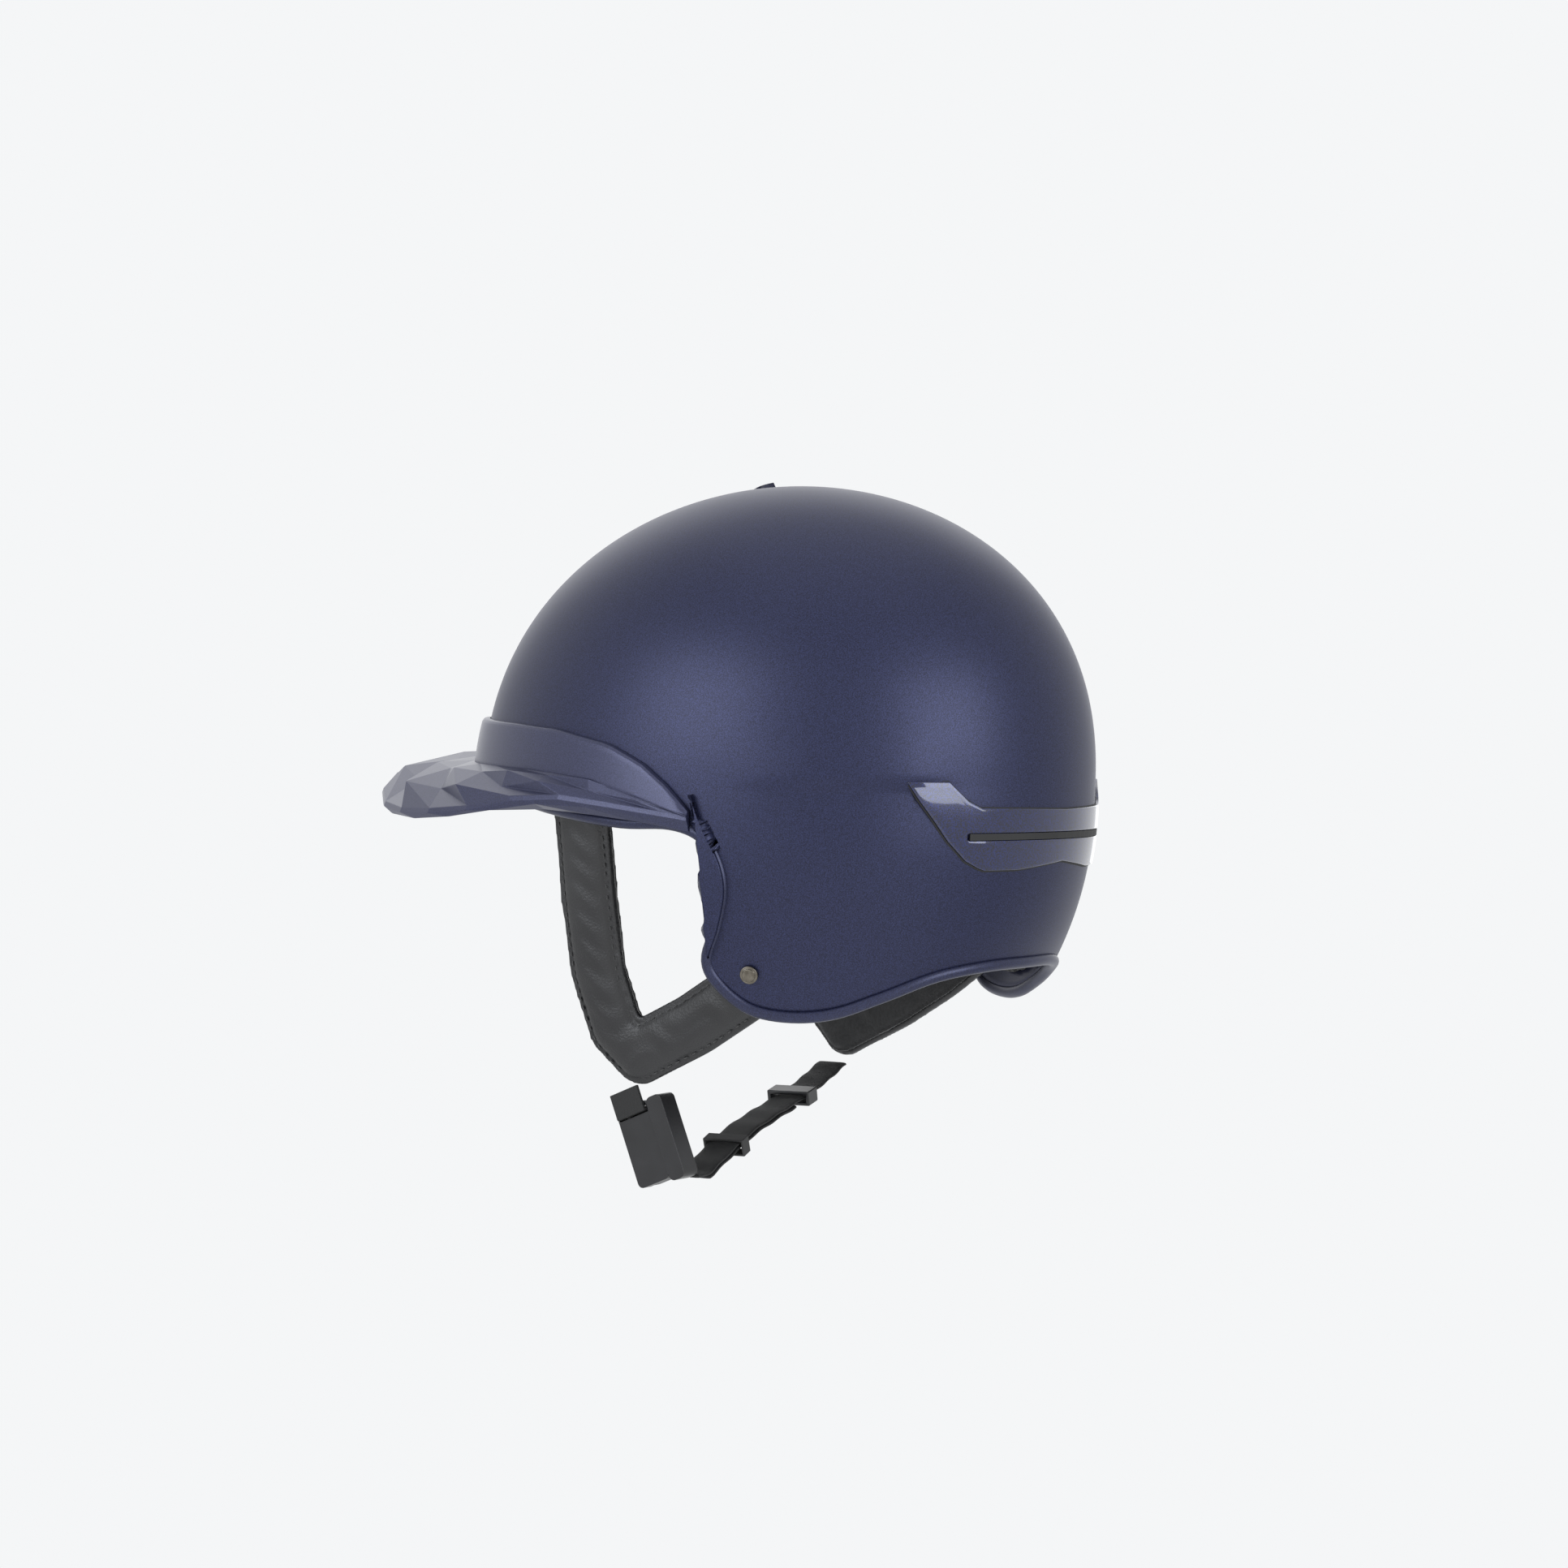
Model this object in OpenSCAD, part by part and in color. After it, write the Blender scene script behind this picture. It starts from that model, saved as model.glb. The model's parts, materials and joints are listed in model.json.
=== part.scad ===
// Equestrian riding helmet with peak, leather chin harness and magnetic buckle.
// Frame: origin at the middle of the head ring, +X to the wearer's left, -Y to the front, +Z up.

/* [Shell] */
// Half width of the shell over the temples
half_w = 112.5; // [108:0.5:118]
// Half length of the shell at the head ring
half_l = 139; // [134:0.5:145]
// Height of the crown above the head ring
crown_h = 127; // [122:1:132]
// Wall of the moulded outer shell
shell_t = 3; // [2:0.5:3.5]
// Thickness of the shock-absorbing foam
foam_t = 20; // [16:1:21]
// Bead round the lower edge of the shell
bead_r = 2.6; // [2:0.2:3]

/* [Peak] */
// How far the peak stands out in front of the shell
peak_reach = 50; // [40:1:58]
// Thickness of the peak at its outer edge
peak_edge = 4; // [3:0.5:5]

/* [Harness] */
// Width of the padded leather straps
leather_w = 26; // [22:1:28]
// Thickness of the leather outer layer
leather_t = 4; // [3:0.5:5]
// Width of the woven chin webbing
web_w = 15; // [12:1:20]
// Thickness of one layer of webbing
web_t = 1.6; // [1.2:0.1:2]

/* [Buckle] */
// Length of the buckle along the strap
buckle_len = 34; // [32:1:40]
// Thickness of the buckle's base plate
buckle_t = 5; // [4:0.5:6]

/* [Hidden] */
gap = 0.4;
facet_gap = 0.9;    // clearance that also takes up the flats of curved faces
tail_angle = 103;   // where the peak's side tails end, from the front
drop = 2.2;         // millimetres of height for each degree past the widest line

// Lower edge of the shell, half of it, front to back: [angle from the front, height]
RIM = [[0, 9], [22, 8], [42, 4], [60, -3], [76, -9], [89, -12.6], [99, -13], [105, -18], [108, -28],
  [109, -41], [107.5, -56], [105.4, -69], [107.5, -78], [113, -87], [121, -90], [130, -88.5],
  [140, -82], [152, -74], [166, -70.5], [180, -70]];
// Upper edge of the peak's band
BAND = [[0, 30], [30, 29], [60, 26], [74, 23.5], [87, 17.5], [94, 10], [99, 1], [103, -9]];
// Ridge between the band and the faceted brim
RIDGE = [[0, 15], [30, 10], [60, 8], [74, 6], [83, 3.6], [91, -1.5], [98, -7], [103, -11]];
// Height of the brim's outer edge
EDGE = [[0, 6], [15, 2], [30, -9], [45, -12.5], [60, -10.5], [72, -5], [82, -5], [90, -8.5], [103, -13]];
// Upper and lower edges of the glossy rear trim, by angle from the front
TRIM_TOP = [[149, 2.5], [154.5, -8], [180, -9]];
TRIM_LOW = [[153, -29], [157, -33], [166, -33], [180, -30]];
SLOT_TOP = -18;
SLOT_LOW = -21;
// Route of the chin webbing, from the buckle to the right harness
ROUTE = [[66, -4, -161], [57, -5, -161], [41, -7, -155], [20, -10, -148], [0, -12, -143],
  [-20, -15, -139.5], [-40, -18, -135.5], [-56, -20, -131], [-68, -21, -126.5]];
// Harness arms drawn flat, [along Y, height], measured from the front anchor
FRONT_ARM = [[0, -3], [-1, -42], [0, -74], [6, -98], [16, -108]];
REAR_ARM = [[16, -108], [44, -95], [68, -81], [90, -65]];
anchor = [94, -35, -4];
rear_anchor = [84, -69];

// ---- the shell's surface ----
// Height, and share of the widest line, for an angle t down from the crown; o is the depth inside the surface
function height_at(t, o) = t <= 90 ? (crown_h - o) * pow(cos(t), 0.909) : -drop * (t - 90);
function angle_at(z, o) = z > 0 ? acos(pow(min(1, z / (crown_h - o)), 1.1)) : 90 - z / drop;
function share(t, c) = t <= 90 ? sin(t) : 1 - c * pow(drop * (t - 90) / 75, 2.2);
function on_shell(a, t, o = 0) =
  let (z = height_at(t, o), low = 0.142 - 0.06 * pow(sin(a), 2))
  [(half_w - o) * share(t, low) * sin(a), -(half_l - o) * share(t, low) * cos(a) + 0.05 * max(z, 0), z];
function on_shell_z(a, z, o = 0) = on_shell(a, angle_at(z, o), o);

// Smooth curve through a list of points
function bend(p0, p1, p2, p3, s) = 0.5 * (2 * p1 + (p2 - p0) * s + (2 * p0 - 5 * p1 + 4 * p2 - p3) * s * s
  + (3 * p1 - p0 - 3 * p2 + p3) * s * s * s);
function smooth(p, steps) = [for (i = [0:len(p) - 2], k = [0:steps - 1])
  bend(p[max(i - 1, 0)], p[i], p[i + 1], p[min(i + 2, len(p) - 1)], k / steps), p[len(p) - 1]];
function whole(half) = [for (i = [0:len(half) - 1]) half[i],
  for (i = [len(half) - 2:-1:1]) [360 - half[i][0], half[i][1]]];

// ---- solids from sections ----
// Joins equal closed sections; closed joins the last to the first
module loft(sections, closed = false) {
  n = len(sections[0]);
  m = len(sections);
  sides = [for (i = [0:m - (closed ? 1 : 2)], k = [0:n - 1])
    let (a = i * n + k, b = i * n + (k + 1) % n, c = ((i + 1) % m) * n + (k + 1) % n, d = ((i + 1) % m) * n + k)
    each [[a, b, c], [a, c, d]]];
  ends = closed ? [] : [[for (k = [n - 1:-1:0]) k], [for (k = [0:n - 1]) (m - 1) * n + k]];
  polyhedron([for (s = sections) each s], concat(sides, ends), convexity = 6);
}

// A domed layer from depth o1 to depth o2 whose lower edge follows a closed list of [angle, height]
module dome(o1, o2, edge, rows) {
  n = len(edge);
  function skin(o) = [for (j = [1:rows], i = [0:n - 1])
    let (s = j / rows, even = 360 * i / n, t = angle_at(edge[i][1], o) * s)
    on_shell(even + (edge[i][0] - even) * pow(s, 1.5), t, o)];
  pts = concat([on_shell(0, 0, o1)], skin(o1), [on_shell(0, 0, o2)], skin(o2));
  base = 1 + rows * n;
  function id(side, j, i) = side * base + 1 + (j - 1) * n + i % n;
  caps = [for (i = [0:n - 1]) each [[0, id(0, 1, i + 1), id(0, 1, i)], [base, id(1, 1, i), id(1, 1, i + 1)]]];
  walls = [for (j = [1:rows - 1], i = [0:n - 1]) each [
    [id(0, j, i), id(0, j, i + 1), id(0, j + 1, i + 1)], [id(0, j, i), id(0, j + 1, i + 1), id(0, j + 1, i)],
    [id(1, j, i), id(1, j + 1, i + 1), id(1, j, i + 1)], [id(1, j, i), id(1, j + 1, i), id(1, j + 1, i + 1)]]];
  foot = [for (i = [0:n - 1]) each [
    [id(0, rows, i), id(0, rows, i + 1), id(1, rows, i + 1)], [id(0, rows, i), id(1, rows, i + 1), id(1, rows, i)]]];
  polyhedron(pts, concat(caps, walls, foot), convexity = 8);
}

// A patch that lies on the shell between two depths, from angle to angle, with lower and upper edges
module skin_patch(o1, o2, angles, low, high, rows) {
  loft([for (a = angles) let (m = min(a, 360 - a), z0 = lookup(m, low), z1 = lookup(m, high)) concat(
    [for (j = [0:rows]) on_shell_z(a, z0 + (z1 - z0) * j / rows, o1)],
    [for (j = [rows:-1:0]) on_shell_z(a, z0 + (z1 - z0) * j / rows, o2)])]);
}
function spread(a0, a1, n) = [for (i = [0:n]) a0 + (a1 - a0) * i / n];

// A flat band along a route, its width kept level
module ribbon(route, width, thick, lift = 0) {
  loft([for (i = [0:len(route) - 1])
    let (t = route[min(i + 1, len(route) - 1)] - route[max(i - 1, 0)], u = cross(t, [0, 1, 0]), up = u / norm(u),
      side = [0, width / 2, 0], c = route[i] + up * lift)
    [c - side - up * thick / 2, c + side - up * thick / 2, c + side + up * thick / 2, c - side + up * thick / 2]]);
}
module rounded_plate(size, r) {
  linear_extrude(size[2]) hull() for (x = [-1, 1], y = [-1, 1])
    translate([x * (size[0] / 2 - r), y * (size[1] / 2 - r)]) circle(r, $fn = 24);
}

// ---- shell, bead and trims ----
rim_curve = whole(smooth(RIM, 3));
module outer_shell() {
  color([0.09, 0.10, 0.22]) dome(0, shell_t, rim_curve, 16);
}
module rim_bead() {
  path = [for (r = whole(smooth(RIM, 3))) on_shell_z(r[0], r[1], shell_t / 2)];
  n = len(path);
  color([0.10, 0.11, 0.24]) loft([for (i = [0:n - 1])
    let (t = path[(i + 1) % n] - path[(i + n - 1) % n], out = [path[i][0], path[i][1], 0] / norm([path[i][0], path[i][1], 0]),
      d = cross(t, out), down = d / norm(d), side = cross(down, t) / norm(t), c = path[i] + down * (bead_r + 0.1))
    [for (k = [0:7]) c + bead_r * (cos(k * 45 + 22.5) * down + sin(k * 45 + 22.5) * side)]], closed = true);
}
// Pairs of [angle, height] round the slot, from the back's middle over the top to the wing and back below
TRIM_HALF = concat(
  [for (a = [180:-3:156]) [[a, SLOT_TOP], [a, lookup(a, TRIM_TOP)]]],
  [[[153.5, -18], [153, -5]], [[153, -18.4], [149, 2.5]], [[153, -18.8], [145, 2.5]], [[153, -19.2], [141, 2.5]],
   [[153, -19.7], [143, -4]], [[153, -20.2], [146, -12.5]], [[153, -20.6], [149, -21]], [[153.5, -21], [153, -29]]],
  [for (a = [156:3:180]) [[a, SLOT_LOW], [a, lookup(a, TRIM_LOW)]]]);
function other_side(p) = [360 - p[0], p[1]];
module rear_trim() {
  n = len(TRIM_HALF);
  loop = concat(TRIM_HALF, [for (i = [n - 2:-1:1]) [other_side(TRIM_HALF[i][0]), other_side(TRIM_HALF[i][1])]]);
  color([0.01, 0.02, 0.16]) loft([for (p = loop) concat(
    [for (s = [0:0.25:1]) let (q = p[0] + (p[1] - p[0]) * s) on_shell_z(q[0], q[1], -facet_gap)],
    [for (s = [1:-0.25:0]) let (q = p[0] + (p[1] - p[0]) * s) on_shell_z(q[0], q[1], -facet_gap - 1.4)])], closed = true);
}
module vent_grille() {
  color([0.02, 0.02, 0.02]) skin_patch(-facet_gap, -facet_gap - 0.6, spread(153.6, 206.4, 18), [[0, SLOT_LOW + 0.2], [180, SLOT_LOW + 0.2]],
    [[0, SLOT_TOP - 0.2], [180, SLOT_TOP - 0.2]], 1);
}

// ---- peak ----
function outset(a) = 3 + peak_reach * pow(max(0, cos(a * 90 / tail_angle)), 1.8);
function facet(i) = (i % 2 == 0 ? 1 : -1);
function peak_point(a, off, z) = let (p = on_shell(a, 90, 0), q = [sin(a) * half_l, -cos(a) * half_w, 0])
  [p[0], p[1], z] + q / norm(q) * off;
function flush(a, z, o) = on_shell_z(a, z, o);
module peak() {
  steps = 40;
  color([0.10, 0.11, 0.22]) loft([for (i = [0:steps])
    let (a = -tail_angle + 2 * tail_angle * i / steps, m = abs(a), e = outset(m), zb = lookup(m, BAND),
      zr = lookup(m, RIDGE), ze = lookup(m, EDGE), zi = min(lookup(m, RIM) + 1.5, zr - 1.5))
    [flush(a, zi, -facet_gap), peak_point(a, e * 0.55, (zi + ze) / 2 - 2), peak_point(a, e, ze - peak_edge / 2),
     peak_point(a, e + 0.4, ze), peak_point(a, e, ze + peak_edge / 2),
     peak_point(a, max(5, e * 0.62), ze + (zr - ze) * 0.62 + 1.2 + facet(i)),
     flush(a, zr, -4.6), flush(a, zb, -3.4), flush(a, zb, -facet_gap), flush(a, (zb + zi) / 2, -facet_gap)]]);
}

// ---- inside ----
LINER_EDGE = [[0, 13], [60, 7], [90, 1], [110, -10], [125, -40], [140, -58], [160, -62], [180, -62]];
module foam_liner() {
  color([0.12, 0.12, 0.13]) dome(shell_t + gap, shell_t + foam_t, whole(smooth(LINER_EDGE, 3)), 11);
}
PAD_EDGE = [[0, 32], [45, 30], [90, 24], [135, 24], [180, 26]];
module crown_pad() {
  color([0.05, 0.05, 0.06]) dome(shell_t + foam_t + 3.5, shell_t + foam_t + 8, whole(smooth(PAD_EDGE, 5)), 8);
}
module brow_pad() {
  low = [for (p = LINER_EDGE) [p[0], p[1] + 1]];
  color([0.05, 0.05, 0.06]) loft([for (a = spread(-100, 100, 24)) let (z0 = lookup(abs(a), low), o = shell_t + foam_t + 2.5)
    [on_shell_z(a, z0, o), on_shell_z(a, z0, o + 6), on_shell_z(a, (z0 + 20) / 2, o + 9), on_shell_z(a, 20, o + 6),
     on_shell_z(a, 20, o)]]);
}
module nape_pad() {
  o = shell_t + foam_t + 1.5;
  color([0.05, 0.05, 0.06]) loft([for (a = spread(150, 210, 12))
    [on_shell_z(a, -58, o), on_shell_z(a, -58, o + 5), on_shell_z(a, -38, o + 9), on_shell_z(a, -18, o + 5),
     on_shell_z(a, -18, o)]]);
}
module flap_lining(side) {
  low = [[110, -60], [116, -80], [124, -84], [132, -81], [139, -75]];
  high = [[110, -24], [118, -32], [124, -44], [132, -56], [139, -64]];
  color([0.04, 0.04, 0.05]) mirror([side < 0 ? 1 : 0, 0, 0])
    skin_patch(shell_t + facet_gap, shell_t + facet_gap + 2.5, spread(111, 139, 8), low, high, 3);
}
module left_flap_lining() { flap_lining(1); }
module right_flap_lining() { flap_lining(-1); }
// Hook-and-loop discs that hold the crown pad to the foam
module hook_pads() {
  color("black") for (a = [45, 135, 225, 315])
    let (t = angle_at(70, shell_t + foam_t), q = on_shell(a, t, shell_t + foam_t + 2.2),
      p = on_shell(a, t, shell_t + foam_t), v = p - q)
    translate(q) rotate([0, acos(v[2] / norm(v)), atan2(v[1], v[0])]) cylinder(r = 5, h = 0.8, $fn = 32);
}

// ---- fasteners ----
rivet_a = 113;
rivet_z = -74;
rivet_yaw = 19;     // the shell's slant there, seen from above and from the front
rivet_lean = 15;
module flap_rivets() {
  color([0.16, 0.15, 0.13]) for (m = [0, 1]) mirror([m, 0, 0])
    translate(on_shell_z(rivet_a, rivet_z)) rotate([0, 0, rivet_yaw]) rotate([0, 90 + rivet_lean, 0]) {
      translate([0, 0, gap]) cylinder(r = 3.7, h = 1.4, $fn = 32);
      translate([0, 0, gap + 1.4]) cylinder(r = 2.7, h = 0.5, $fn = 32);
    }
}
module strap_anchors() {
  color("dimgray") for (side = [1, -1]) {
    translate([side * (anchor[0] - 1), anchor[1], anchor[2] - 0.2]) cylinder(r = 6, h = 3, $fn = 32);
    on_arm_plane(side, leather_t + 1, 1.4) translate(rear_anchor) circle(r = 3.5, $fn = 32);
  }
}

// ---- harness ----
arm_tilt = 9;
arm_yaw = 6;
module flat_arms(width) {
  for (arm = [FRONT_ARM, REAR_ARM], i = [0:len(arm) - 2]) hull() {
    translate(arm[i]) circle(width / 2, $fn = 20);
    translate(arm[i + 1]) circle(width / 2, $fn = 20);
  }
}
// Lays a flat drawing [y, z] on the harness plane and gives it thickness towards the outside
module on_arm_plane(side, inner, thick) {
  mirror([side < 0 ? 1 : 0, 0, 0]) translate(anchor) rotate([0, arm_tilt, 0]) rotate([0, 0, arm_yaw])
    translate([inner, 0, 0]) rotate([90, 0, 90]) linear_extrude(thick) children();
}
module harness_layer(side, inner, thick, width) {
  on_arm_plane(side, inner, thick) difference() {
    flat_arms(width);
    translate([-40, -1.5]) square([80, 20]);
  }
}
module left_harness() { color([0.05, 0.05, 0.05]) harness_layer(1, 0, leather_t, leather_w); }
module right_harness() { color([0.05, 0.05, 0.05]) harness_layer(-1, 0, leather_t, leather_w); }
module left_harness_lining() { color([0.03, 0.03, 0.03]) harness_layer(1, -2.5, 2.5, leather_w - 2); }
module right_harness_lining() { color([0.03, 0.03, 0.03]) harness_layer(-1, -2.5, 2.5, leather_w - 2); }

// ---- buckle and webbing ----
buckle_at = [71, -16, -147.5];
buckle_turn = 22;
base_w = 17;
tab_w = 8;
tongue_t = 3.2;
tongue_x = -0.4 - tongue_t;
magnet_r = 4;
// The buckle's own axes: X outwards, Y towards the tab, Z up the strap
module buckle_frame() { translate(buckle_at) rotate([buckle_turn, 0, 0]) children(); }
module plate_on_side(size, r) { rotate([0, 90, 0]) rounded_plate([size[2], size[1], size[0]], r); }
module buckle_base() {
  color([0.04, 0.04, 0.05]) buckle_frame() difference() {
    translate([0, -2.5, 0]) plate_on_side([buckle_t, base_w, buckle_len], 2.5);
    translate([-1, -2.5 - web_w / 2 - 0.3, buckle_len / 2 - 5]) cube([buckle_t + 2, web_w + 0.6, web_t + 1.2]);
    translate([-1, -2.5, 0]) rotate([0, 90, 0]) cylinder(r = magnet_r + 0.05, h = 4, $fn = 32);
  }
}
module base_magnet() {
  color("silver") buckle_frame() translate([0.2, -2.5, 0]) rotate([0, 90, 0]) cylinder(r = magnet_r, h = 2.6, $fn = 32);
}
module buckle_tab() {
  color([0.03, 0.03, 0.04]) buckle_frame() difference() {
    union() {
      translate([tongue_x, 6.4 + tab_w / 2, -1]) plate_on_side([buckle_t + 4.6, tab_w, buckle_len + 2], 2.5);
      translate([tongue_x, 0, -2]) plate_on_side([tongue_t, 18, buckle_len - 4], 2.5);
    }
    translate([tongue_x - 1, -2.5, 0]) rotate([0, 90, 0]) cylinder(r = magnet_r + 0.05, h = 3.4, $fn = 32);
  }
}
module tab_magnet() {
  color("silver") buckle_frame() translate([tongue_x, -2.5, 0]) rotate([0, 90, 0]) cylinder(r = magnet_r, h = 2.2, $fn = 32);
}
// The webbing passes through the base's slot and stands up beside the plate to the harness
module left_webbing() {
  color([0.04, 0.04, 0.04]) buckle_frame() translate([0, -2.5 - web_w / 2, 0]) {
    translate([buckle_t + 0.3, 0, buckle_len / 2 - 4.4]) cube([web_t, web_w, 11]);
    translate([0.5, 0, buckle_len / 2 - 4.4]) cube([buckle_t, web_w, web_t]);
  }
}
module chin_webbing() { color([0.04, 0.04, 0.04]) ribbon(smooth(ROUTE, 3), web_w, web_t); }
module webbing_tail() {
  color([0.05, 0.05, 0.05]) ribbon(smooth([for (i = [1:5]) ROUTE[i]], 3), web_w, web_t, lift = web_t + 0.2);
}
function route_frame(i) = let (t = ROUTE[i + 1] - ROUTE[i]) atan2(t[2], -t[0]);
module sleeve(i, length, wall, high, drop_by = 0) {
  t = ROUTE[i + 1] - ROUTE[i];
  translate((ROUTE[i] + ROUTE[i + 1]) / 2) rotate([0, route_frame(i), atan2(t[1], t[0]) - 180]) difference() {
    translate([-length / 2, -web_w / 2 - wall - 1, -web_t / 2 - wall - 0.8 - drop_by])
      cube([length, web_w + 2 * wall + 2, high + 2 * wall + 1.6]);
    translate([-length / 2 - 1, -web_w / 2 - 1, -web_t / 2 - 0.8 - drop_by]) cube([length + 2, web_w + 2, high + 1.6]);
  }
}
module webbing_slider() { color([0.02, 0.02, 0.02]) sleeve(5, 9, 1.6, web_t); }
module webbing_keeper() { color([0.03, 0.03, 0.03]) sleeve(2, 6, 1, 2 * web_t + 0.6, web_t + 0.6); }

outer_shell();
rim_bead();
peak();
rear_trim();
vent_grille();
foam_liner();
crown_pad();
brow_pad();
nape_pad();
left_flap_lining();
right_flap_lining();
hook_pads();
flap_rivets();
strap_anchors();
left_harness();
left_harness_lining();
right_harness();
right_harness_lining();
left_webbing();
buckle_base();
base_magnet();
chin_webbing();
webbing_tail();
webbing_keeper();
buckle_tab();
tab_magnet();
webbing_slider();
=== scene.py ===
"""Equestrian riding helmet: the finished surfaces round the fixed frame."""
import json
import math

import bmesh
import bpy
from mathutils import Matrix, Vector


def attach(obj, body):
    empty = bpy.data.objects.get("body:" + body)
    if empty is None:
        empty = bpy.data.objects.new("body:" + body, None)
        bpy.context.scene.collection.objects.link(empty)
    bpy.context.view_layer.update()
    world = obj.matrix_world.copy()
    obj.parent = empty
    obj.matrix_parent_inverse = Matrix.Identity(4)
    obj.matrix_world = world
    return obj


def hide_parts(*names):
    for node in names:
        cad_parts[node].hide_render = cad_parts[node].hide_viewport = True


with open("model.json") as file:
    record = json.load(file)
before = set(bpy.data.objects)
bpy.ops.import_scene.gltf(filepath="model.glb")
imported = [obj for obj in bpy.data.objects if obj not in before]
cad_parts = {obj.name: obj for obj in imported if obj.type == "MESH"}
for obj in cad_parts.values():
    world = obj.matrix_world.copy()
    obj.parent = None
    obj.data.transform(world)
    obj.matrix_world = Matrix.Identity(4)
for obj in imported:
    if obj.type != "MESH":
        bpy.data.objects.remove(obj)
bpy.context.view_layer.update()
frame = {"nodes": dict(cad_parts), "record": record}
MM = 0.001

# ---------------------------------------------------------------- the shell's own numbers, in millimetres
HALF_W, HALF_L, CROWN_H = 112.5, 139.0, 127.0
SHELL_T = 3.0
BEAD_R = 2.6
DROP = 2.2
TAIL_ANGLE = 103.0
PEAK_REACH = 50.0
PEAK_EDGE = 4.0
RIM = [(0, 9), (22, 8), (42, 4), (60, -3), (76, -9), (89, -12.6), (99, -13), (105, -18), (108, -28),
       (109, -41), (107.5, -56), (105.4, -69), (107.5, -78), (113, -87), (121, -90), (130, -88.5),
       (140, -82), (152, -74), (166, -70.5), (180, -70)]
BAND = [(0, 30), (30, 29), (60, 26), (74, 23.5), (87, 17.5), (94, 10), (99, 1), (103, -9)]
RIDGE = [(0, 15), (30, 10), (60, 8), (74, 6), (83, 3.6), (91, -1.5), (98, -7), (103, -11)]
EDGE = [(0, 6), (15, 2), (30, -9), (45, -12.5), (60, -10.5), (72, -5), (82, -5), (90, -8.5), (103, -13)]
TRIM_TOP = [(149, 2.5), (154.5, -8), (180, -9)]
TRIM_LOW = [(153, -29), (157, -33), (166, -33), (180, -30)]
SLOT_TOP, SLOT_LOW = -18.0, -21.0
CREASE_Z = 2.0
ROUTE = [(66, -4, -161), (57, -5, -161), (41, -7, -155), (20, -10, -148), (0, -12, -143),
         (-20, -15, -139.5), (-40, -18, -135.5), (-56, -20, -131), (-68, -21, -126.5)]
WEB_W, WEB_T = 15.0, 1.6
LEATHER_W, LEATHER_T = 26.0, 4.0
FRONT_ARM = [(0, -3), (-1, -42), (0, -74), (6, -98), (16, -108)]
REAR_ARM = [(16, -108), (44, -95), (68, -81), (90, -65)]
ANCHOR = Vector((94, -35, -4))
ARM_FRAME = Matrix.Rotation(math.radians(9), 3, "Y") @ Matrix.Rotation(math.radians(6), 3, "Z")


# ---------------------------------------------------------------- curves and the shell's surface
def lookup(x, table):
    """Straight-line value between listed points, held at both ends."""
    if x <= table[0][0]:
        return table[0][1]
    for (x0, y0), (x1, y1) in zip(table, table[1:]):
        if x <= x1:
            return y0 + (y1 - y0) * (x - x0) / (x1 - x0)
    return table[-1][1]


def ease(x, low, high):
    """0 below low, 1 above high, smooth between."""
    s = min(1.0, max(0.0, (x - low) / (high - low)))
    return s * s * (3 - 2 * s)


def smooth(points, steps):
    """Catmull-Rom curve through the points."""
    pts = [Vector(p) for p in points]
    out = []
    for i in range(len(pts) - 1):
        p0, p1, p2, p3 = pts[max(i - 1, 0)], pts[i], pts[i + 1], pts[min(i + 2, len(pts) - 1)]
        for k in range(steps):
            s = k / steps
            out.append(0.5 * (2 * p1 + (p2 - p0) * s + (2 * p0 - 5 * p1 + 4 * p2 - p3) * s * s
                              + (3 * p1 - p0 - 3 * p2 + p3) * s ** 3))
    return out + [pts[-1]]


def whole(half):
    """Both sides of a half outline of (angle, height)."""
    return [tuple(p) for p in half] + [(360 - p[0], p[1]) for p in half[-2:0:-1]]


def height_at(t, o=0.0):
    return (CROWN_H - o) * max(0.0, math.cos(math.radians(t))) ** 0.909 if t <= 90 else -DROP * (t - 90)


def angle_at(z, o=0.0):
    return math.degrees(math.acos(min(1.0, z / (CROWN_H - o)) ** 1.1)) if z > 0 else 90 - z / DROP


def on_shell(a, t, o=0.0):
    """Point on the shell at an angle from the front and an angle down from the crown, o deep."""
    s = math.sin(math.radians(a))
    z = height_at(t, o)
    low = 0.142 - 0.06 * s * s
    share = math.sin(math.radians(t)) if t <= 90 else 1 - low * (DROP * (t - 90) / 75) ** 2.2
    return Vector(((HALF_W - o) * share * s, -(HALF_L - o) * share * math.cos(math.radians(a)) + 0.05 * max(z, 0), z))


def on_shell_z(a, z, o=0.0):
    return on_shell(a, angle_at(z, o), o)


RIM_CURVE = whole(smooth(RIM, 6))


def rim_at(u):
    """Rim (angle, height) at a share u of the way round."""
    n = len(RIM_CURVE)
    x = (u % 1.0) * n
    i = int(x) % n
    s = x - int(x)
    a0, z0 = RIM_CURVE[i]
    a1, z1 = RIM_CURVE[(i + 1) % n]
    a1 = a1 + 360 if a1 < a0 - 180 else a1
    return a0 + (a1 - a0) * s, z0 + (z1 - z0) * s


# ---------------------------------------------------------------- making pieces
def piece(name, bm, body, material, replaces=(), flat=False):
    """Makes an object from a bmesh, in place, gives it its material, hides the CAD parts it replaces, and ties it to
    its body.
    """
    for f in bm.faces:
        f.smooth = not flat
    mesh = bpy.data.meshes.new(name)
    bm.to_mesh(mesh)
    bm.free()
    mesh.materials.append(material)
    ob = bpy.data.objects.new(name, mesh)
    bpy.context.collection.objects.link(ob)
    if replaces:
        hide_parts(*replaces)
    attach(ob, body)
    return ob


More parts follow.
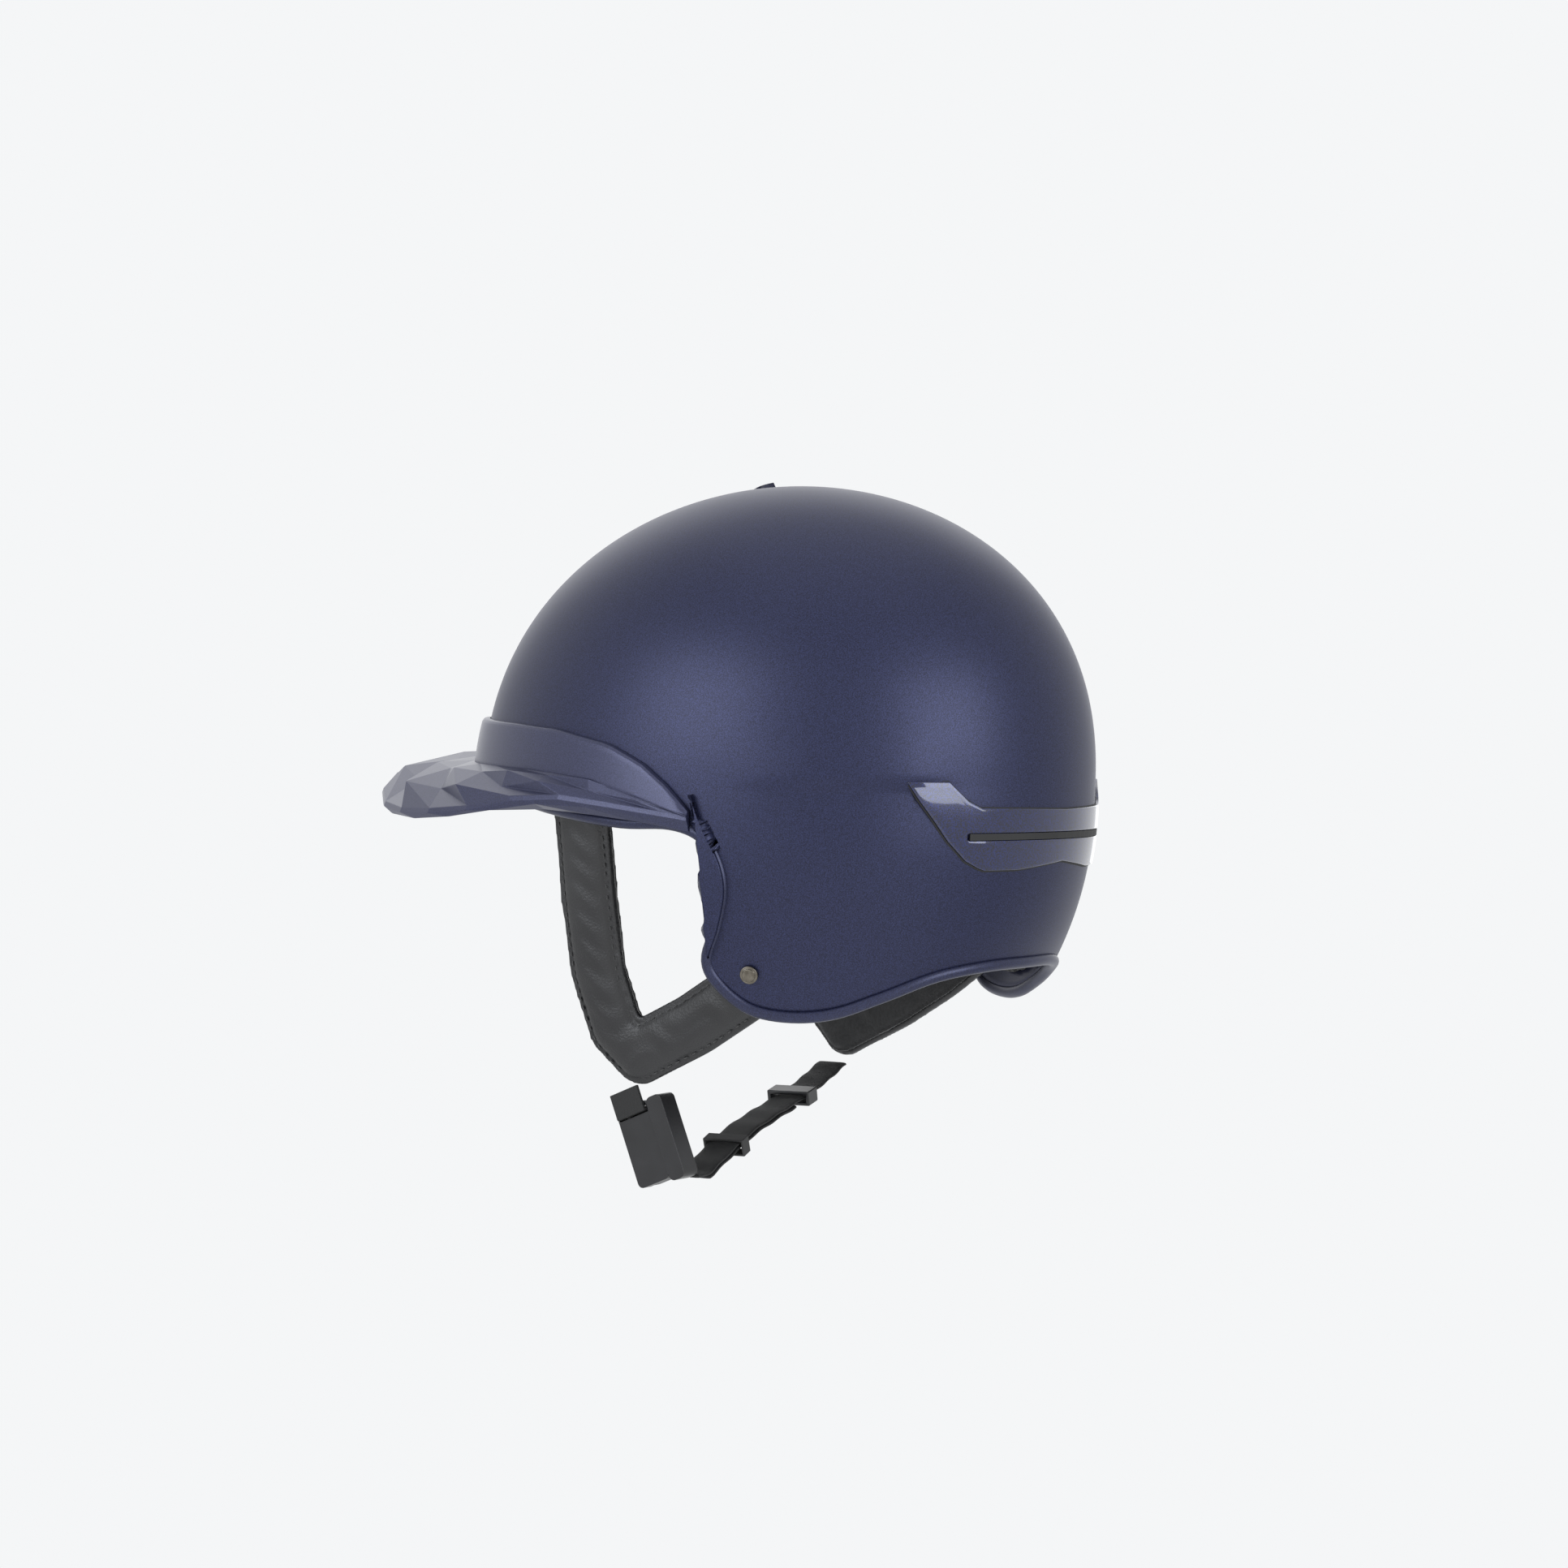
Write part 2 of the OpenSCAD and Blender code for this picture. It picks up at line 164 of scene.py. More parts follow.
def grid(cols, rows, place):
    """A bmesh grid whose every vertex is moved to place(u, v), doubles merged."""
    bm = bmesh.new()
    bmesh.ops.create_grid(bm, x_segments=cols, y_segments=rows, size=1)
    for v in bm.verts:
        v.co = place((v.co.x + 1) / 2, (v.co.y + 1) / 2) * MM
    bmesh.ops.remove_doubles(bm, verts=bm.verts, dist=1e-6)
    bmesh.ops.dissolve_degenerate(bm, edges=bm.edges, dist=1e-7)
    return bm


def outwards(bm, centre):
    """Turns an open sheet so that its faces look away from centre."""
    bmesh.ops.recalc_face_normals(bm, faces=bm.faces)
    middle = Vector(centre) * MM
    if sum(f.normal.dot(f.calc_center_median() - middle) * f.calc_area() for f in bm.faces) < 0:
        bmesh.ops.reverse_faces(bm, faces=bm.faces)
    return bm


def closed(bm):
    bmesh.ops.recalc_face_normals(bm, faces=bm.faces)
    return bm


def thicken(ob, thickness, offset=-1.0, rim_bevel=0.0):
    m = ob.modifiers.new("wall", "SOLIDIFY")
    m.thickness, m.offset = thickness * MM, offset
    if rim_bevel:
        b = ob.modifiers.new("edge", "BEVEL")
        b.width, b.segments, b.limit_method, b.angle_limit = rim_bevel * MM, 2, "ANGLE", math.radians(50)
    return ob


def rounded(ob, width, segments=3, angle=35):
    b = ob.modifiers.new("edge", "BEVEL")
    b.width, b.segments, b.limit_method, b.angle_limit = width * MM, segments, "ANGLE", math.radians(angle)
    return ob


# ---------------------------------------------------------------- materials
def nodes_of(name):
    m = bpy.data.materials.new(name)
    m.use_nodes = True
    n, l = m.node_tree.nodes, m.node_tree.links
    return m, n, l, n["Principled BSDF"]


def pattern(n, l, kind, scale, detail=2.0, stretch=(1, 1, 1)):
    """A noise, voronoi or wave texture on Object coordinates."""
    tc = n.new("ShaderNodeTexCoord")
    mp = n.new("ShaderNodeMapping")
    mp.inputs["Scale"].default_value = stretch
    tex = n.new(kind)
    tex.inputs["Scale"].default_value = scale
    if "Detail" in tex.inputs:
        tex.inputs["Detail"].default_value = detail
    l.new(tc.outputs["Object"], mp.inputs["Vector"])
    l.new(mp.outputs["Vector"], tex.inputs["Vector"])
    return tex


def ramp(n, l, source, stops):
    r = n.new("ShaderNodeValToRGB")
    r.color_ramp.elements[0].position, r.color_ramp.elements[0].color = stops[0][0], (*stops[0][1], 1)
    r.color_ramp.elements[1].position, r.color_ramp.elements[1].color = stops[-1][0], (*stops[-1][1], 1)
    for pos, col in stops[1:-1]:
        r.color_ramp.elements.new(pos).color = (*col, 1)
    l.new(source, r.inputs["Fac"])
    return r


def bump(n, l, source, shader, strength, distance):
    b = n.new("ShaderNodeBump")
    b.inputs["Strength"].default_value = strength
    b.inputs["Distance"].default_value = distance * MM
    l.new(source, b.inputs["Height"])
    l.new(b.outputs["Normal"], shader.inputs["Normal"])
    return b


def lacquer(name, dark, light, metallic, roughness, coat=0.0, flake=2600, rough_low=None):
    """Metallic lacquer: fine flakes vary the colour, and roughness wanders a little."""
    m, n, l, s = nodes_of(name)
    f = pattern(n, l, "ShaderNodeTexNoise", flake, 1.0)
    col = ramp(n, l, f.outputs["Fac"], [(0.36, dark), (0.66, light)])
    l.new(col.outputs["Color"], s.inputs["Base Color"])
    wander = pattern(n, l, "ShaderNodeTexNoise", 14.0, 2.0)
    r = n.new("ShaderNodeMapRange")
    r.inputs["To Min"].default_value = roughness - 0.03
    r.inputs["To Max"].default_value = roughness + 0.03
    l.new(wander.outputs["Fac"], r.inputs["Value"])
    l.new(r.outputs["Result"], s.inputs["Roughness"])
    s.inputs["Metallic"].default_value = metallic
    s.inputs["Coat Weight"].default_value = coat
    s.inputs["Coat Roughness"].default_value = 0.04 if coat > 0.5 else 0.35
    bump(n, l, f.outputs["Fac"], s, 0.10, 0.05)
    return m


def leather(name, dark, light):
    """Grained leather: small cells with creases between and a soft patchy sheen."""
    m, n, l, s = nodes_of(name)
    cells = pattern(n, l, "ShaderNodeTexVoronoi", 900)
    creases = pattern(n, l, "ShaderNodeTexNoise", 220, 6.0)
    patch = pattern(n, l, "ShaderNodeTexNoise", 40, 3.0)
    add = n.new("ShaderNodeMath")
    add.operation = "MULTIPLY_ADD"
    add.inputs[1].default_value = 0.6
    l.new(creases.outputs["Fac"], add.inputs[0])
    l.new(cells.outputs["Distance"], add.inputs[2])
    col = ramp(n, l, patch.outputs["Fac"], [(0.35, dark), (0.7, light)])
    l.new(col.outputs["Color"], s.inputs["Base Color"])
    r = n.new("ShaderNodeMapRange")
    r.inputs["To Min"].default_value = 0.36
    r.inputs["To Max"].default_value = 0.52
    l.new(patch.outputs["Fac"], r.inputs["Value"])
    l.new(r.outputs["Result"], s.inputs["Roughness"])
    s.inputs["Specular IOR Level"].default_value = 0.55
    bump(n, l, add.outputs["Value"], s, 0.35, 0.25)
    return m


def cloth(name, dark, light, scale=900, roughness=0.9, sheen=0.3, depth=0.3):
    """Napped or knitted cloth: fine fibre noise in colour and relief."""
    m, n, l, s = nodes_of(name)
    f = pattern(n, l, "ShaderNodeTexNoise", scale, 5.0)
    col = ramp(n, l, f.outputs["Fac"], [(0.3, dark), (0.7, light)])
    l.new(col.outputs["Color"], s.inputs["Base Color"])
    s.inputs["Roughness"].default_value = roughness
    s.inputs["Sheen Weight"].default_value = sheen
    s.inputs["Sheen Roughness"].default_value = 0.5
    bump(n, l, f.outputs["Fac"], s, 0.6, depth)
    return m


def woven(name, dark, light):
    """Webbing: ribs across the band crossed by fine yarns, on the piece's own UV map."""
    m, n, l, s = nodes_of(name)
    uv = n.new("ShaderNodeUVMap")
    uv.uv_map = "weave"
    waves = []
    for direction, scale in (("X", 0.9), ("Y", 0.55)):
        w = n.new("ShaderNodeTexWave")
        w.bands_direction = direction
        w.inputs["Scale"].default_value = scale
        w.inputs["Distortion"].default_value = 0.4
        l.new(uv.outputs["UV"], w.inputs["Vector"])
        waves.append(w)
    mix = n.new("ShaderNodeMath")
    mix.operation = "MULTIPLY"
    l.new(waves[0].outputs["Fac"], mix.inputs[0])
    l.new(waves[1].outputs["Fac"], mix.inputs[1])
    col = ramp(n, l, mix.outputs["Value"], [(0.0, dark), (0.8, light)])
    l.new(col.outputs["Color"], s.inputs["Base Color"])
    s.inputs["Roughness"].default_value = 0.7
    bump(n, l, mix.outputs["Value"], s, 0.9, 0.4)
    return m


def moulded(name, dark, light, roughness=0.4, grain=1500):
    """Moulded plastic or rubber with a fine spark-eroded grain and light handling marks."""
    m, n, l, s = nodes_of(name)
    g = pattern(n, l, "ShaderNodeTexNoise", grain, 3.0)
    marks = pattern(n, l, "ShaderNodeTexNoise", 60, 4.0)
    col = ramp(n, l, marks.outputs["Fac"], [(0.35, dark), (0.7, light)])
    l.new(col.outputs["Color"], s.inputs["Base Color"])
    r = n.new("ShaderNodeMapRange")
    r.inputs["To Min"].default_value = roughness - 0.06
    r.inputs["To Max"].default_value = roughness + 0.08
    l.new(marks.outputs["Fac"], r.inputs["Value"])
    l.new(r.outputs["Result"], s.inputs["Roughness"])
    bump(n, l, g.outputs["Fac"], s, 0.25, 0.08)
    return m


def metal(name, dark, light, roughness=0.35):
    m, n, l, s = nodes_of(name)
    g = pattern(n, l, "ShaderNodeTexNoise", 400, 4.0)
    col = ramp(n, l, g.outputs["Fac"], [(0.35, dark), (0.7, light)])
    l.new(col.outputs["Color"], s.inputs["Base Color"])
    s.inputs["Metallic"].default_value = 1.0
    s.inputs["Roughness"].default_value = roughness
    bump(n, l, g.outputs["Fac"], s, 0.1, 0.05)
    return m


def bead_foam(name):
    """Moulded foam: closely packed round beads, each painted darker towards its edge as shade in the creases between
    beads.
    """
    m, n, l, s = nodes_of(name)
    v = pattern(n, l, "ShaderNodeTexVoronoi", 300)
    # lighter bead centres, darker bead edges: painted shade between the beads; the relief itself comes from the bump
    col = ramp(n, l, v.outputs["Distance"], [(0.0, (0.035, 0.035, 0.04)), (0.6, (0.012, 0.012, 0.014))])
    l.new(col.outputs["Color"], s.inputs["Base Color"])
    s.inputs["Roughness"].default_value = 0.8
    bump(n, l, v.outputs["Distance"], s, 0.5, 0.4)
    return m


SHELL_PAINT = lacquer("navy_lacquer", (0.008, 0.009, 0.026), (0.022, 0.027, 0.075), 0.6, 0.44, coat=0.06)
BEAD_PAINT = lacquer("bead_lacquer", (0.010, 0.011, 0.030), (0.022, 0.027, 0.070), 0.5, 0.38, coat=0.1)
PEAK_PAINT = lacquer("peak_lacquer", (0.020, 0.022, 0.048), (0.038, 0.042, 0.092), 0.5, 0.36, coat=0.12)
GLOSS_TRIM = lacquer("gloss_flake_blue", (0.001, 0.001, 0.010), (0.003, 0.010, 0.08), 0.45, 0.18, coat=1.0, flake=1800)
LEATHER = leather("black_leather", (0.004, 0.004, 0.005), (0.010, 0.010, 0.011))
THREAD = cloth("black_thread", (0.010, 0.010, 0.010), (0.03, 0.03, 0.03), 3000, 0.6, 0.2, 0.05)
SUEDE = cloth("lining_suede", (0.006, 0.006, 0.006), (0.014, 0.014, 0.015), 700, 0.95, 0.25)
PAD_KNIT = cloth("pad_knit", (0.010, 0.014, 0.016), (0.022, 0.028, 0.032), 1100, 0.9, 0.3)
HOOKS = cloth("hook_tape", (0.005, 0.005, 0.005), (0.02, 0.02, 0.02), 1600, 0.95, 0.1)
WEBBING = woven("black_webbing", (0.003, 0.003, 0.003), (0.012, 0.012, 0.013))
BUCKLE = moulded("buckle_plastic", (0.005, 0.005, 0.006), (0.010, 0.010, 0.012), 0.36)
RUBBER = moulded("keeper_rubber", (0.010, 0.010, 0.010), (0.018, 0.018, 0.018), 0.6)
GRILLE = moulded("grille_black", (0.004, 0.004, 0.004), (0.010, 0.010, 0.010), 0.7)
GUNMETAL = metal("rivet_gunmetal", (0.09, 0.08, 0.065), (0.17, 0.155, 0.13), 0.3)
DARK_STEEL = metal("dark_steel", (0.04, 0.04, 0.04), (0.09, 0.09, 0.09), 0.4)
PLATED = metal("magnet_plating", (0.5, 0.5, 0.52), (0.7, 0.7, 0.72), 0.2)
FOAM = bead_foam("bead_foam")


# ---------------------------------------------------------------- studio: camera, lights, floor
def studio():
    centre = Vector((0, 0, 0)) * MM
    azimuth, elevation, distance = math.radians(125), math.radians(0.8), 1.4
    back = Vector((math.sin(azimuth) * math.cos(elevation), -math.cos(azimuth) * math.cos(elevation), math.sin(elevation)))
    data = bpy.data.cameras.new("camera")
    data.sensor_width, data.lens, data.clip_end = 36.0, 74.9, 20.0
    cam = bpy.data.objects.new("camera", data)
    bpy.context.collection.objects.link(cam)
    cam.location = centre + back * distance
    cam.rotation_mode = "QUATERNION"
    cam.rotation_quaternion = (-back).to_track_quat("-Z", "Y")
    bpy.context.scene.camera = cam

    right = Vector((math.cos(azimuth), math.sin(azimuth), 0))
    up = Vector((0, 0, 1))
    for name, place, size, power, colour in (
            ("key_left", back * 0.75 - right * 0.85 + up * 0.35, 0.75, 8, (0.90, 0.94, 1.0)),
            ("key_right", back * 0.75 + right * 0.62 + up * 0.22, 0.6, 5.5, (0.90, 0.94, 1.0)),
            ("top", back * 0.1 + up * 1.3, 1.2, 2, (1, 1, 1)),
            ("under", back * 0.5 - up * 0.55, 1.1, 1.5, (1, 1, 1)),
            ("behind", -back * 0.9 + up * 0.4, 1.2, 2.5, (1, 1, 1))):
        lamp = bpy.data.lights.new(name, "AREA")
        lamp.size, lamp.energy, lamp.color = size, power, colour
        ob = bpy.data.objects.new(name, lamp)
        bpy.context.collection.objects.link(ob)
        ob.location = place
        ob.rotation_mode = "QUATERNION"
        ob.rotation_quaternion = (Vector((0, 0, -0.01)) - place).to_track_quat("-Z", "Y")
    world = bpy.data.worlds.new("studio")
    bpy.context.scene.world = world
    world.use_nodes = True
    world.node_tree.nodes["Background"].inputs["Color"].default_value = (0.93, 0.94, 0.95, 1)
    world.node_tree.nodes["Background"].inputs["Strength"].default_value = 0.98

    bm = bmesh.new()
    bmesh.ops.create_grid(bm, x_segments=1, y_segments=1, size=1.2)
    mesh = bpy.data.meshes.new("floor")
    bm.to_mesh(mesh)
    bm.free()
    floor = bpy.data.objects.new("floor", mesh)
    floor.location = (0, 0, -1.6)
    bpy.context.collection.objects.link(floor)
    m, n, l, s = nodes_of("pale_floor")
    s.inputs["Base Color"].default_value = (0.86, 0.87, 0.88, 1)
    s.inputs["Roughness"].default_value = 0.9
    mesh.materials.append(m)
    bpy.context.scene.view_settings.view_transform = "Standard"


# ---------------------------------------------------------------- shell and its trims
def shell():
    cols, upper, lower = len(RIM_CURVE), 64, 44

    def place(u, v):
        a_rim, z_rim = rim_at(u)
        t_rim = angle_at(z_rim)
        t_mid = min(angle_at(CREASE_Z), t_rim * 0.93)
        j = v * (upper + lower)
        t = t_mid * j / upper if j <= upper else t_mid + (t_rim - t_mid) * (j - upper) / lower
        even = 360 * u
        a = even + (a_rim - even) * (t / t_rim) ** 1.5
        m = a if a <= 180 else 360 - a
        z = height_at(t)
        above = (1 - ease(z, CREASE_Z + 2, CREASE_Z + 26)) if j <= upper + 0.01 else 0.0
        ledge = 0.9 * ease(m, 108, 126) * (1 - ease(m, 141, 152)) * above
        below = 0.9 * ease(m, 112, 132) * (1 - ease(m, 141, 152))
        sink = below * (1 - ease(CREASE_Z - z, 6, 30)) if j > upper + 0.01 else 0.0
        return on_shell(a, t, -ledge + sink)

    bm = grid(cols, upper + lower, place)
    bmesh.ops.remove_doubles(bm, verts=bm.verts, dist=2e-5)
    outwards(bm, (0, 0, 0))
    return thicken(piece("shell", bm, "helmet", SHELL_PAINT, ["outer_shell"]), SHELL_T)


def rim_bead():
    """Rounded roll along the shell's lower edge."""
    path = [on_shell_z(a, z, SHELL_T / 2) for a, z in whole(smooth(RIM, 6))]
    n = len(path)

    def place(u, v):
        i = round(u * n) % n
        p, ahead, behind = path[i], path[(i + 1) % n], path[(i - 1) % n]
        t = (ahead - behind).normalized()
        out = Vector((p.x, p.y, 0)).normalized()
        down = t.cross(out).normalized()
        side = down.cross(t)
        k = 2 * math.pi * v
        return p + down * (BEAD_R - 1.2) + BEAD_R * (math.cos(k) * down + math.sin(k) * side)

    bm = closed(grid(n, 16, place))
    return piece("edge_roll", bm, "helmet", BEAD_PAINT, ["rim_bead"])


def trim_pairs():
    """Pairs round the slot: inner and outer (angle, height), as the trim runs."""
    half = [((a, SLOT_TOP), (a, lookup(a, TRIM_TOP))) for a in [180 - k * 1.5 for k in range(17)]]
    wing = [((153.5, -18), (153, -5)), ((153, -18.4), (149, 2.5)), ((153, -18.8), (145, 2.5)),
            ((153, -19.2), (141, 2.5)), ((153, -19.7), (143, -4)), ((153, -20.2), (146, -12.5)),
            ((153, -20.6), (149, -21)), ((153.5, -21), (153, -29))]
    low = [((a, SLOT_LOW), (a, lookup(a, TRIM_LOW))) for a in [156 + k * 1.5 for k in range(17)]]
    half = half + wing + low
    mirror = [((360 - p[0][0], p[0][1]), (360 - p[1][0], p[1][1])) for p in half[-2:0:-1]]
    return half + mirror


def rear_trim():
    pairs = trim_pairs()
    n = len(pairs)

    def place(u, v):
        inner, outer = pairs[round(u * n) % n]
        a = inner[0] + (outer[0] - inner[0]) * v
        z = inner[1] + (outer[1] - inner[1]) * v
        return on_shell_z(a, z, -1.5)

    bm = outwards(grid(n, 8, place), (0, 0, -15))
    ob = piece("gloss_trim", bm, "helmet", GLOSS_TRIM, ["rear_trim"])
    return thicken(ob, 1.7, -1.0, 0.45)


def trim_shadow_gap():
    """A black tube laid along the trim's outer edge: painted shadow standing in for the gap round the trim."""
    outer = [p[1] for p in trim_pairs()]
    n = len(outer)

    def place(u, v):
        a, z = outer[round(u * n) % n]
        a0, z0 = outer[(round(u * n) - 1) % n]
        a1, z1 = outer[(round(u * n) + 1) % n]
        flat = Vector(((a1 - a0) * 2.1, z1 - z0)).normalized()
        normal = Vector((-flat.y, flat.x))
        k = 2 * math.pi * v
        r = 0.55
        q = normal * (r * math.cos(k))
        return on_shell_z(a + q.x / 2.1, z + q.y, -0.05 - 0.35 * math.sin(k))

    # the black grille material here is painted shadow of the gap, not a part of the helmet
    return piece("trim_gap_painted_shadow", closed(grid(n, 8, place)), "helmet", GRILLE)


# ---------------------------------------------------------------- peak
def outset(a):
    return 3 + PEAK_REACH * max(0.0, math.cos(math.radians(a * 90 / TAIL_ANGLE))) ** 1.8


def peak_point(a, off, z):
    p = on_shell(a, 90)
    r = math.radians(a)
    q = Vector((math.sin(r) * HALF_L, -math.cos(r) * HALF_W, 0)).normalized() * off
    return Vector((p.x + q.x, p.y + q.y, z))


def peak_band():
    """Smooth band of the peak that hugs the shell."""
    def place(u, v):
        a = -TAIL_ANGLE + 2 * TAIL_ANGLE * u
        m = abs(a)
        top, low = lookup(m, BAND), lookup(m, RIDGE) - 0.5
        section = [(-0.4, low), (-4.2, low), (-3.9, low + (top - low) * 0.4), (-3.5, top - 1.4), (-2.9, top - 0.3),
                   (-2.0, top), (-0.4, top), (-0.4, low)]
        x = v * 28
        i = min(int(x / 4), 6)
        s = x / 4 - i
        o = section[i][0] + (section[i + 1][0] - section[i][0]) * s
        z = section[i][1] + (section[i + 1][1] - section[i][1]) * s
        return on_shell_z(a, z, o)

    bm = grid(96, 28, place)
    bmesh.ops.holes_fill(bm, edges=[e for e in bm.edges if e.is_boundary], sides=0)
    return rounded(piece("peak_band", closed(bm), "helmet", PEAK_PAINT, ["peak"]), 0.5, 2, 50)


def brim():
    """Faceted brim: flat triangular planes that fan out from the ridge to the edge."""
    fans = 22
    rows = 9

    def place(u, v):
        i = round(u * fans)
        j = round(v * rows) % rows
        shift = 0.5 if j in (3, 4) and 0 < i < fans else 0.0
        a = -TAIL_ANGLE + 2 * TAIL_ANGLE * (i + shift) / fans
        m = abs(a)
        e, zr, ze = outset(a), lookup(m, RIDGE), lookup(m, EDGE)
        zi = min(lookup(m, RIM) + 1, zr - 5)
        kick = (1 if i % 2 else -1) * (1 - ease(m, 85, 100))
        if j == 0:
            return on_shell_z(a, zi, -0.4)
        if j == 1:
            return peak_point(a, e * 0.55, (zi + ze) / 2 - 3)
        if j == 2:
            return peak_point(a, e - 0.6, ze - PEAK_EDGE / 2)
        if j == 3:
            return peak_point(a, e + 0.4, ze)
        if j == 4:
            return peak_point(a, e - 0.3, ze + PEAK_EDGE / 2)
        if j == 5:
            return peak_point(a, e * (0.74 + 0.10 * kick), ze + (zr - ze) * 0.5 + 1.0 + 0.9 * kick)
        if j == 6:
            return peak_point(a, 3 + (e - 3) * (0.36 - 0.06 * kick), ze + (zr - ze) * 0.84 + 1.2 - 0.6 * kick)
        if j == 7:
            return on_shell_z(a, zr, -4.6)
        return on_shell_z(a, zr - 0.3, -0.6)

    bm = grid(fans, rows, place)
    bmesh.ops.holes_fill(bm, edges=[e for e in bm.edges if e.is_boundary], sides=0)
    bmesh.ops.triangulate(bm, faces=bm.faces, quad_method="ALTERNATE")
    closed(bm)
    ob = piece("peak_brim", bm, "helmet", PEAK_PAINT, ["peak"], flat=True)
    return rounded(ob, 0.35, 2, 8)


# ---------------------------------------------------------------- harness
def arm_distance(p):
    """Distance from a point of the harness plane to the nearer arm's middle line."""
    best = 1e9
    for arm in (FRONT_ARM, REAR_ARM):
        for q0, q1 in zip(arm, arm[1:]):
            a, b = Vector(q0), Vector(q1)
            s = max(0.0, min(1.0, (p - a).dot(b - a) / (b - a).length_squared))
            best = min(best, (p - a - (b - a) * s).length)
    return best


def from_arm_plane(local, side):
    p = ANCHOR + ARM_FRAME @ local
    return Vector((p.x * side, p.y, p.z))


def padded_layer(node, name, side, material, out, puff):
    """The CAD layer remeshed, softened, and crowned between its sewn edges."""
    mesh = frame["nodes"][node].data.copy()
    ob = bpy.data.objects.new(name, mesh)
    bpy.context.collection.objects.link(ob)
    bm = bmesh.new()
    bm.from_mesh(mesh)
    bmesh.ops.remove_doubles(bm, verts=bm.verts, dist=1e-6)
    bm.to_mesh(mesh)
    bm.free()
    remesh = ob.modifiers.new("remesh", "REMESH")
    remesh.mode, remesh.voxel_size = "VOXEL", 1.1 * MM
    soft = ob.modifiers.new("soften", "SMOOTH")
    soft.factor, soft.iterations = 0.5, 8
    done = bpy.data.meshes.new_from_object(ob.evaluated_get(bpy.context.evaluated_depsgraph_get()))
    bpy.data.objects.remove(ob)
    bm = bmesh.new()
    bm.from_mesh(done)
    bpy.data.meshes.remove(done)
    turn_back = ARM_FRAME.transposed()
    half = LEATHER_W / 2
    for v in bm.verts:
        p = v.co / MM
        local = turn_back @ (Vector((p.x * side, p.y, p.z)) - ANCHOR)
        q = arm_distance(Vector((local.y, local.z))) / half
        crown = puff * max(0.0, 1 - (q / 0.80) ** 2) ** 0.7
        groove = -0.7 * math.exp(-((q - 0.80) / 0.05) ** 2)
        wrinkle = 0.25 * math.sin(local.z * 0.55 + 2.2 * math.sin(local.y * 0.21)) * max(0.0, 1 - q)
        face = ease(out * local.x, LEATHER_T * 0.5 - 1.5, LEATHER_T * 0.5 + 1.0) if out > 0 else ease(-local.x, 0.6, 2.0)
        local.x += out * (crown + groove + wrinkle) * face
        v.co = from_arm_plane(local, side) * MM
    body = "left_strap" if side > 0 else "right_strap"
    ob = piece(name, bm, body, material, [node])
    return ob


def stitching(side, name):
    """Rows of thread along both edges of both arms."""
    bm = bmesh.new()
    inset = LEATHER_W / 2 - 2.7
    for arm in (FRONT_ARM, REAR_ARM):
        line = smooth(arm, 24)
        for edge in (-1, 1):
            travelled, last = 0.0, None
            for p0, p1 in zip(line, line[1:]):
                t = (p1 - p0).normalized()
                p = p0 + Vector((-t.y, t.x)) * inset * edge
                travelled += (p - last).length if last else 0.0
                last = p
                if travelled < 3.6 or arm_distance(p) < inset - 0.6 or p.y > -6 or (p.x > 78 and p.y > -80):
                    continue
                travelled = 0.0
                made = bmesh.ops.create_icosphere(bm, subdivisions=1, radius=1)["verts"]
                lie = Matrix(((0, 0, 1), (t.x, -t.y, 0), (t.y, t.x, 0)))
                for v in made:
                    q = lie @ Vector((v.co.x * 1.25, v.co.y * 0.34, v.co.z * 0.34))
                    v.co = from_arm_plane(Vector((LEATHER_T + 0.05 + q.x, p.x + q.y, p.y + q.z)), side) * MM
    closed(bm)
    return piece(name, bm, "left_strap" if side > 0 else "right_strap", THREAD)


# ---------------------------------------------------------------- webbing and buckle
def weave_map(bm, cols, rows, length, width):
    """UVs in millimetres, so that the weave keeps its scale along the band."""
    layer = bm.loops.layers.uv.new("weave")
    for f in bm.faces:
        for loop in f.loops:
            loop[layer].uv = (loop.vert.co.x / MM, loop.vert.co.y / MM)


def band(name, route, width, thick, lift, body, nodes):
    """A woven band along a route, slightly crowned, with soft selvedges."""
    line = [Vector(p) for p in route]
    n = len(line) - 1

    def place(u, v):
        i = round(u * n)
        t = line[min(i + 1, n)] - line[max(i - 1, 0)]
        up = t.cross(Vector((0, 1, 0))).normalized()
        k = 2 * math.pi * v
        c, s = math.cos(k), math.sin(k)
        across = width / 2 * math.copysign(abs(c) ** 0.35, c)
        depth = thick / 2 * math.copysign(abs(s) ** 0.6, s)
        ripple = 0.25 * math.sin(i * 0.9)
        return line[i] + Vector((0, across, 0)) + up * (lift + depth + ripple)

    bm = grid(n, 24, place)
    bmesh.ops.holes_fill(bm, edges=[e for e in bm.edges if e.is_boundary], sides=0)
    closed(bm)
    weave_map(bm, n, 24, 0, width)
    return piece(name, bm, body, WEBBING, nodes)


def refinish(node, material, bevel=0.0, segments=3):
    """A CAD node copied with merged vertices, its edges rounded, and given its finish."""
    src = frame["nodes"][node]
    bm = bmesh.new()
    bm.from_mesh(src.data)
    bmesh.ops.remove_doubles(bm, verts=bm.verts, dist=1e-6)
    bmesh.ops.dissolve_limit(bm, angle_limit=math.radians(2), verts=bm.verts, edges=bm.edges)
    body = next(b for b, held in frame["record"]["behaviour"]["bodies"].items() if node in held)
    if material is WEBBING:
        weave_map(bm, 0, 0, 0, 0)
    ob = piece(node + "_finish", bm, body, material, [node], flat=True)
    if bevel:
        rounded(ob, bevel, segments, 30)
    for f in ob.data.polygons:
        f.use_smooth = True
    ob.data.set_sharp_from_angle(angle=math.radians(30))
    return ob


def paint(node, material):
    ob = frame["nodes"][node]
    ob.data.materials.clear()
    ob.data.materials.append(material)


